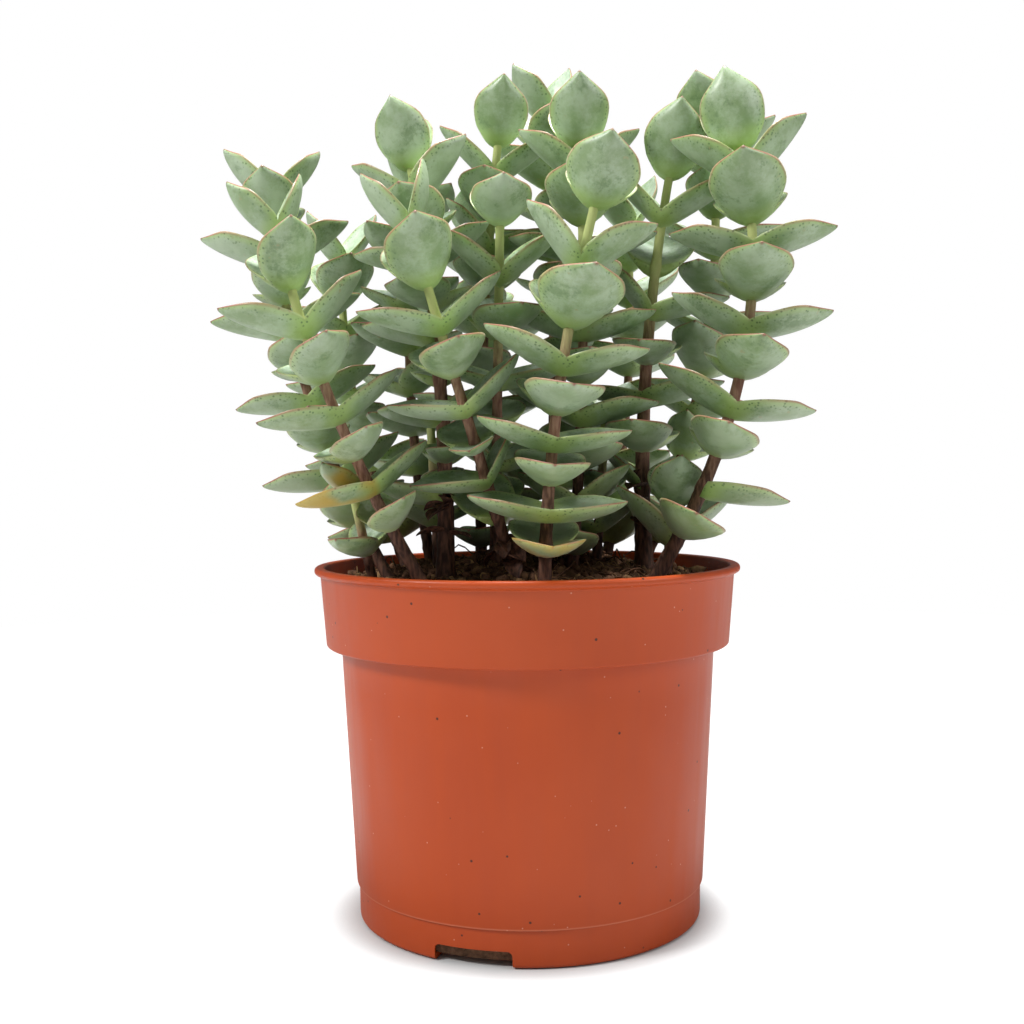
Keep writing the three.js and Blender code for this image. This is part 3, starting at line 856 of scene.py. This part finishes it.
shelf = BAND_FOOT_HEIGHT + WALL
foot = BODY_FOOT_RADIUS - 0.35
profile = [(0, 0.6), (30, 0.6), (30.6, 0)]
profile += arc((foot - 1.2, 1.2), 1.2, -90, 0, 5)
wall_foot = (BODY_FOOT_RADIUS + 0.45, 10.3)
wall_top = (BODY_TOP_RADIUS, BAND_FOOT_HEIGHT - 0.6)
profile += [(foot + 0.1, 9.8), (BODY_FOOT_RADIUS + 0.35, 10.0), wall_foot]
for i in range(1, WALL_STEPS + 1):
    share = i / WALL_STEPS
    profile.append((mix(wall_foot[0], wall_top[0], share), mix(wall_foot[1], wall_top[1], share)))
profile += [(BODY_TOP_RADIUS + 0.2, BAND_FOOT_HEIGHT - 0.15), (BODY_TOP_RADIUS + 0.6, BAND_FOOT_HEIGHT)]
profile += arc((BAND_FOOT_RADIUS - 0.6, BAND_FOOT_HEIGHT + 0.6), 0.6, -90, 0, 4)
profile += [(BAND_TOP_RADIUS, POT_HEIGHT - 2.9), (BAND_TOP_RADIUS + 0.25, POT_HEIGHT - 2.4)]
profile += arc((LIP_RADIUS - 0.9, POT_HEIGHT - 1.15), 0.9, -80, 0, 4)
profile += arc((LIP_RADIUS - 0.9, POT_HEIGHT - 0.9), 0.9, 0, 90, 5)
profile += arc((BAND_TOP_RADIUS - WALL + 0.5, POT_HEIGHT - 0.6), 0.5, 90, 180, 3)
profile += [(BAND_FOOT_RADIUS - WALL, shelf + 0.5), (BAND_FOOT_RADIUS - WALL - 0.5, shelf)]
profile += [(inner_radius(shelf), shelf), (inner_radius(FLOOR), FLOOR), (0, FLOOR)]
pot = turn_profile("nursery_pot", profile, plastic)


def rounded_block(low, high, turn, rounding):
    """A cutter: a block with rounded edges, turned about the pot's axis."""
    shape = bmesh.new()
    bmesh.ops.create_cube(shape, size=1)
    for vertex in shape.verts:
        vertex.co = Vector([mix(low[i], high[i], vertex.co[i] + 0.5) * MM for i in range(3)])
    edges = shape.edges[:]
    bmesh.ops.bevel(shape, geom=edges, offset=rounding * MM, segments=4, profile=0.5, affect="EDGES")
    spin = Matrix.Rotation(turn, 3, "Z")
    bmesh.ops.rotate(shape, verts=shape.verts[:], cent=(0, 0, 0), matrix=spin)
    mesh = bpy.data.meshes.new("cutter")
    shape.to_mesh(mesh)
    shape.free()
    block = bpy.data.objects.new("cutter", mesh)
    bpy.context.collection.objects.link(block)
    return block


cutters = []
for hole, bottom in ((NOTCH, -6), (DRAINS, -4)):
    for i in range(hole["count"]):
        turn = math.radians(hole["turn"] + 360 / hole["count"] * i)
        low = (hole["inner"], -hole["width"] / 2, bottom)
        high = (hole["outer"], hole["width"] / 2, hole["height"])
        cutters.append(rounded_block(low, high, turn, CUT_ROUNDING))
for cutter in cutters:
    cut = pot.modifiers.new("cut", "BOOLEAN")
    cut.operation = "DIFFERENCE"
    cut.solver = "EXACT"
    cut.object = cutter
bpy.context.view_layer.update()
finished = bpy.data.meshes.new_from_object(pot.evaluated_get(bpy.context.evaluated_depsgraph_get()))
pot.modifiers.clear()
pot.data = finished
for cutter in cutters:
    bpy.data.objects.remove(cutter)
pot.data.set_sharp_from_angle(angle=math.radians(35))
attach(pot, "root")
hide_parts("pot")
print("pot faces:", len(pot.data.polygons))

# %% [markdown]
# ## Compost
#
# Peat and coir compost is a dark mat of crumbs with pale fibres. Colour comes from a number on each
# crumb, so neighbours differ, and the bump is coarse. It is fully matt.

# %% Peat and coir
compost, tree, shader, place = start_material("peat and coir compost")
grain = patches(tree, place, 1.6, 6, 0.7)
brown = blend(tree, ramp(tree, grain, 0.35, 0.65), "46301F", "86624A")
pale = ramp(tree, number(tree, "luck"), 0.6, 1, high=0.8)
brown = blend(tree, pale, brown, "BC9468")
tree.links.new(brown, shader.inputs["Base Color"])
tree.links.new(bump(tree, grain, 0.8, 0.8), shader.inputs["Normal"])
shader.inputs["Roughness"].default_value = 0.95
shader.inputs["Specular IOR Level"].default_value = 0.25

# %% [markdown]
# ## Soil plug
#
# The plug has the solid's own form: it fills the pot and is mounded in the middle. Its top gets real
# relief from noise, then crumbs of half a millimetre to three millimetres and loose fibres lie on it.
# A few thicker roots loop out of it near the stems. All are plain meshes in one piece, scattered by
# seeded dice, so the result never changes.

# %% Soil plug
PLUG_GAP = 0.5
PLUG_STEPS = 150
PLUG_RINGS = 52
CRUMBS = 2300
FIBRES = 330
ROOTS = 45
THREAD_STEPS = 9
plug_top_radius = BAND_TOP_RADIUS - WALL - PLUG_GAP - 0.6
plug_walls = [
    (inner_radius(FLOOR) - PLUG_GAP, FLOOR + 0.3),
    (inner_radius(shelf) - PLUG_GAP, shelf + 0.4),
    (BAND_FOOT_RADIUS - WALL - PLUG_GAP, shelf + 0.4),
    (plug_top_radius, SOIL_EDGE_HEIGHT - 1.5),
]


def fine_soil_height(x, y):
    rough = noise.fractal(Vector((x * 0.22, y * 0.22, 3.0)), 0.8, 2.1, 4)
    heap = 3.2 * max(0, 1 - math.hypot(x, y) / 40)
    return soil_height(x, y) + heap + 0.9 * rough


points = [(0, 0, FLOOR + 0.3)]
rings = [[(x, y, z) for x, y in circle(r, PLUG_STEPS)] for r, z in plug_walls]
for i in range(PLUG_RINGS, 0, -1):
    ring = circle(plug_top_radius * i / PLUG_RINGS, PLUG_STEPS)
    rings.append([(x, y, fine_soil_height(x, y)) for x, y in ring])
for ring in rings:
    points.extend(ring)
points.append((0, 0, fine_soil_height(0, 0)))
faces = []
for k in range(PLUG_STEPS):
    after = (k + 1) % PLUG_STEPS
    faces.append((0, 1 + after, 1 + k))
    for i in range(len(rings) - 1):
        a = 1 + i * PLUG_STEPS
        faces.append((a + k, a + after, a + PLUG_STEPS + after, a + PLUG_STEPS + k))
    a = 1 + (len(rings) - 1) * PLUG_STEPS
    faces.append((len(points) - 1, a + k, a + after))
soil_luck = [0.35] * len(points)

ball = bmesh.new()
bmesh.ops.create_icosphere(ball, subdivisions=1, radius=1)
ball_points = [vertex.co.copy() for vertex in ball.verts]
ball_faces = [tuple(vertex.index for vertex in face.verts) for face in ball.faces]
ball.free()
for i in range(CRUMBS):
    r = plug_top_radius * math.sqrt(dice.random()) * 0.985
    a = dice.uniform(0, 2 * math.pi)
    x = r * math.cos(a)
    y = r * math.sin(a)
    size = 0.35 + 1.6 * dice.random() ** 3
    z = fine_soil_height(x, y) + size * 0.3
    turn = Matrix.Rotation(dice.uniform(0, 6.3), 3, Vector((dice.random(), dice.random(), 1)))
    stretch = Vector((dice.uniform(0.7, 1.6), dice.uniform(0.7, 1.2), dice.uniform(0.5, 0.9)))
    offset = len(points)
    shift = Vector((dice.random(), dice.random(), dice.random())) * 9
    for p in ball_points:
        lump = p * (1 + 0.35 * noise.noise(p * 1.7 + shift))
        lump = turn @ Vector((lump.x * stretch.x, lump.y * stretch.y, lump.z * stretch.z))
        points.append(tuple(Vector((x, y, z)) + lump * size))
    faces.extend(tuple(offset + j for j in face) for face in ball_faces)
    soil_luck.extend([dice.random() ** 1.5] * len(ball_points))

for i in range(FIBRES + ROOTS):
    is_root = i >= FIBRES
    r = plug_top_radius * math.sqrt(dice.random()) * (0.7 if is_root else 0.93)
    a = dice.uniform(0, 2 * math.pi)
    x = r * math.cos(a)
    y = r * math.sin(a)
    way = dice.uniform(0, 2 * math.pi)
    bend = dice.uniform(-0.5, 0.5)
    length = dice.uniform(9, 18) if is_root else dice.uniform(3, 10)
    thick = dice.uniform(0.2, 0.38) if is_root else dice.uniform(0.09, 0.22)
    hop = dice.uniform(1.5, 4.5) if is_root else dice.uniform(0.3, 1.8)
    offset = len(points)
    for j in range(THREAD_STEPS):
        s = j / (THREAD_STEPS - 1)
        point = Vector((x, y, fine_soil_height(x, y) + 0.15 + hop * math.sin(math.pi * s)))
        width = thick * (1 - 0.6 * s)
        side = Vector((-math.sin(way), math.cos(way), 0))
        points.append(tuple(point + side * width))
        points.append(tuple(point - side * width * 0.5 + Vector((0, 0, width))))
        points.append(tuple(point - side * width * 0.5 - Vector((0, 0, width))))
        x += math.cos(way) * length / THREAD_STEPS
        y += math.sin(way) * length / THREAD_STEPS
        if math.hypot(x, y) > plug_top_radius - 1:
            way += 2.2
        way += bend * 0.4 + dice.uniform(-0.25, 0.25)
    for j in range(THREAD_STEPS - 1):
        for k in range(3):
            a0 = offset + 3 * j + k
            b0 = offset + 3 * j + (k + 1) % 3
            faces.append((a0, a0 + 3, b0 + 3, b0))
    faces.append((offset, offset + 1, offset + 2))
    top = offset + 3 * (THREAD_STEPS - 1)
    faces.append((top + 2, top + 1, top))
    thread_luck = dice.uniform(0.35, 0.65) if is_root else dice.uniform(0.55, 1)
    soil_luck.extend([thread_luck] * (3 * THREAD_STEPS))
soil = make_piece("compost_plug", points, faces, (compost,), [0] * len(faces), {"luck": soil_luck})
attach(soil, "root")
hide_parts("soil")
print("soil faces:", len(faces))
